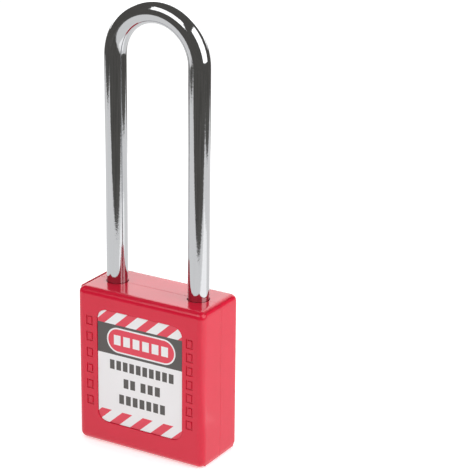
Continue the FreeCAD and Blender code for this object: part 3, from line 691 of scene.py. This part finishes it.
rear_band, rear_band_half = 34.5, 2.5
rear_blocks = {"left": -7.9, "count": 7, "pitch": 2.35, "width": 1.6, "low": 33.5, "high": 35.5}
line_heights, line_middle, line_reach, line_half = (27.4, 23.2, 19.0, 14.8), 2.2, 9.6, 0.12
line_blocks, line_block_height = {"left": -11.8, "count": 3, "pitch": 1.2, "width": 0.8}, 1.3


def rear_print(tree, x, z):
    """The rear print: the same stripes, a dark band, and lines with a few blocks before each."""
    layers = striped_ends(tree, x, z)
    band = within(tree, x, z, (0, rear_band), (plate_high[0], rear_band_half))
    layers.append((band, label_dark))
    layers.append((block_row(tree, x, z, **rear_blocks), label_white))
    for height in line_heights:
        line = within(tree, x, z, (line_middle, height), (line_reach, line_half))
        blocks = block_row(tree, x, z, low=height, high=height + line_block_height, **line_blocks)
        layers += [(line, label_dark), (blocks, label_dark)]
    return paint_layers(tree, layers)


for side, paint_print in (("front", front_print), ("rear", rear_print)):
    points, faces = label_plate(side == "front")
    film = printed("printed_film_" + side, paint_print)
    plate = mesh_piece("printed_" + side + "_label", points, faces, film)
    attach(plate, "case")
    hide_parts(side + "_label")


# ---- Camera, floor and light
# The lock stands on white paper, under a long soft box and a small one on its right. The
# chrome and the gloss reflect a second set of pieces, which nothing else sees: a dark room,
# a sheet of paper with a bright patch by the lamp, and a lit panel behind.

azimuth, elevation, roll = math.radians(30.5), math.radians(19.72), math.radians(0.67)
target, distance = Vector((0.02455, 0.0, 0.06661)), 0.5317
focal_mm, sensor_mm, nearest, farthest = 153.05, 36.0, 0.01, 20.0
to_right = Vector((math.cos(azimuth), math.sin(azimuth), 0))
to_camera = Vector((math.sin(azimuth), -math.cos(azimuth), 0))
back = to_camera * math.cos(elevation) + Vector((0, 0, math.sin(elevation)))
level_up = to_right.cross(-back)
camera_right = to_right * math.cos(roll) + level_up * math.sin(roll)
camera_up = level_up * math.cos(roll) - to_right * math.sin(roll)
lens = bpy.data.cameras.new("camera")
lens.lens, lens.sensor_width = focal_mm, sensor_mm
lens.clip_start, lens.clip_end = nearest, farthest
camera = bpy.data.objects.new("camera", lens)
camera.matrix_world = Matrix.Translation(target + back * distance) @ Matrix(
    (camera_right, camera_up, back)).transposed().to_4x4()
bpy.context.scene.collection.objects.link(camera)
bpy.context.scene.camera = camera
bpy.context.scene.view_settings.view_transform = "Standard"


def stage_piece(name, quads, material, in_gloss):
    """A flat-sided piece of the studio, from quads of corners in metres. One that is in the
    gloss is seen only in reflections, and the others are seen everywhere else."""
    corners = [corner for quad in quads for corner in quad]
    mesh = bpy.data.meshes.new(name)
    mesh.from_pydata(corners, [], [tuple(range(4 * i, 4 * i + 4)) for i in range(len(quads))])
    mesh.materials.append(material)
    piece = bpy.data.objects.new(name, mesh)
    bpy.context.scene.collection.objects.link(piece)
    piece.visible_glossy = in_gloss
    piece.visible_camera = piece.visible_diffuse = piece.visible_shadow = not in_gloss


def white_paper():
    """Matt white paper lit from under its edges, so that it glows a little everywhere, with a
    faint mottle of its fibres every 2 or 3 mm."""
    material, tree, mm, shader = new_material("matt_white_paper")
    shader.inputs["Emission Color"].default_value = from_hex("#FFFFFF")
    shader.inputs["Emission Strength"].default_value = 0.42
    fibres = add(tree, "TexNoise", {"Vector": mm}, Scale=0.4, Detail=4.0)
    tint = add(tree, "Mix", {"Factor": fibres.outputs["Fac"]}, data_type="RGBA",
               A=from_hex("#F6F6F6"), B=from_hex("#FAFAFA"))
    tree.links.new(tint.outputs["Result"], shader.inputs["Base Color"])
    shader.inputs["Roughness"].default_value = 0.95
    return material


def glow(name, darker, lighter, strength):
    """A glow for the walls and panels of the studio, between two colours in soft patches
    about 60 mm across."""
    material, tree, mm, shader = new_material(name)
    patches = add(tree, "TexNoise", {"Vector": mm}, Scale=0.016, Detail=4.0)
    colour = add(tree, "Mix", {"Factor": patches.outputs["Fac"]}, data_type="RGBA",
                 A=from_hex(darker), B=from_hex(lighter))
    tree.links.new(colour.outputs["Result"], shader.inputs["Emission Color"])
    shader.inputs["Emission Strength"].default_value = strength
    shader.inputs["Base Color"].default_value = from_hex("#000000")
    shader.inputs["Roughness"].default_value = 1.0
    return material


def level(corners, z):
    """A level piece, from its corners' places across the floor and towards the camera."""
    return [to_right * x + to_camera * y + Vector((0, 0, z)) for x, y in corners]


def upright(start, end, low, high):
    """An upright rectangle over the line between two places on the floor."""
    return level([start, end], low) + level([end, start], high)


room, hair = 2.5, 0.0001
room_corners = [(-room, -room), (room, -room), (room, room), (-room, room)]
room_walls = [upright(room_corners[i - 1], room_corners[i], 0, room) for i in range(4)]
paper_corners = [(-0.36, -0.3), (0.29, -0.25), (0.29, 0.17), (-0.36, 0.17)]
patch_corners = [(0.04, 0.0), (0.2, 0.0), (0.2, 0.13), (0.04, 0.13)]
panel_left, panel_right, panel_low, panel_high = (-0.45, -0.5), (0.45, -0.5), 0.1, 0.5
room_ends = [level(room_corners, -3 * hair), level(room_corners, room)]
stage_piece("paper_floor", [level(room_corners, -hair)], white_paper(), False)
stage_piece("dark_studio", room_ends + room_walls,
            glow("dark_studio_wall", "#060606", "#7E7C78", 1.0), True)
stage_piece("back_panel", [upright(panel_left, panel_right, panel_low, panel_high)],
            glow("lit_white_panel", "#F2F2F2", "#FFFFFF", 2.4), True)
stage_piece("paper_in_gloss", [level(paper_corners, -2 * hair)],
            glow("lit_paper", "#F0F0F0", "#FFFFFF", 1.04), True)
stage_piece("bright_patch", [level(patch_corners, -hair)],
            glow("paper_near_lamp", "#F6F6F6", "#FFFFFF", 1.5), True)


def soft_box(name, place, aim, width, height, watts):
    """A rectangular area lamp at a place, turned to face an aim, with its width level."""
    lamp = bpy.data.lights.new(name, "AREA")
    lamp.shape, lamp.size, lamp.size_y, lamp.energy = "RECTANGLE", width, height, watts
    holder = bpy.data.objects.new(name, lamp)
    turn = (Vector(aim) - Vector(place)).to_track_quat("-Z", "Y").to_matrix().to_4x4()
    holder.matrix_world = Matrix.Translation(place) @ turn
    holder.visible_camera = False
    bpy.context.scene.collection.objects.link(holder)


middle_of_lock = (0.0, 0.0, 0.05)
soft_box("top_box", (-0.13, -0.6, 0.74), middle_of_lock, 0.78, 0.48, 2.3)
soft_box("right_box", (0.27, 0.03, 0.22), middle_of_lock, 0.3, 0.3, 0.6)

world = bpy.data.worlds.new("white_surround")
world.use_nodes = True
surround = world.node_tree
surround.nodes.clear()
facing = add(surround, "TexCoord")
toward = add(surround, "VectorMath", {0: facing.outputs["Generated"], 1: (back.x, back.y, 0.6)},
             operation="DOT_PRODUCT")
fade = add(surround, "MapRange", {"Value": toward.outputs["Value"]}, From_Min=-0.6, From_Max=0.9,
           To_Min=0.95, To_Max=0.4, interpolation_type="SMOOTHSTEP")
sky = add(surround, "Background", {"Strength": fade.outputs["Result"]}, Color=from_hex("#FFFFFF"))
add(surround, "OutputWorld", {"Surface": sky.outputs["Background"]})
bpy.context.scene.world = world
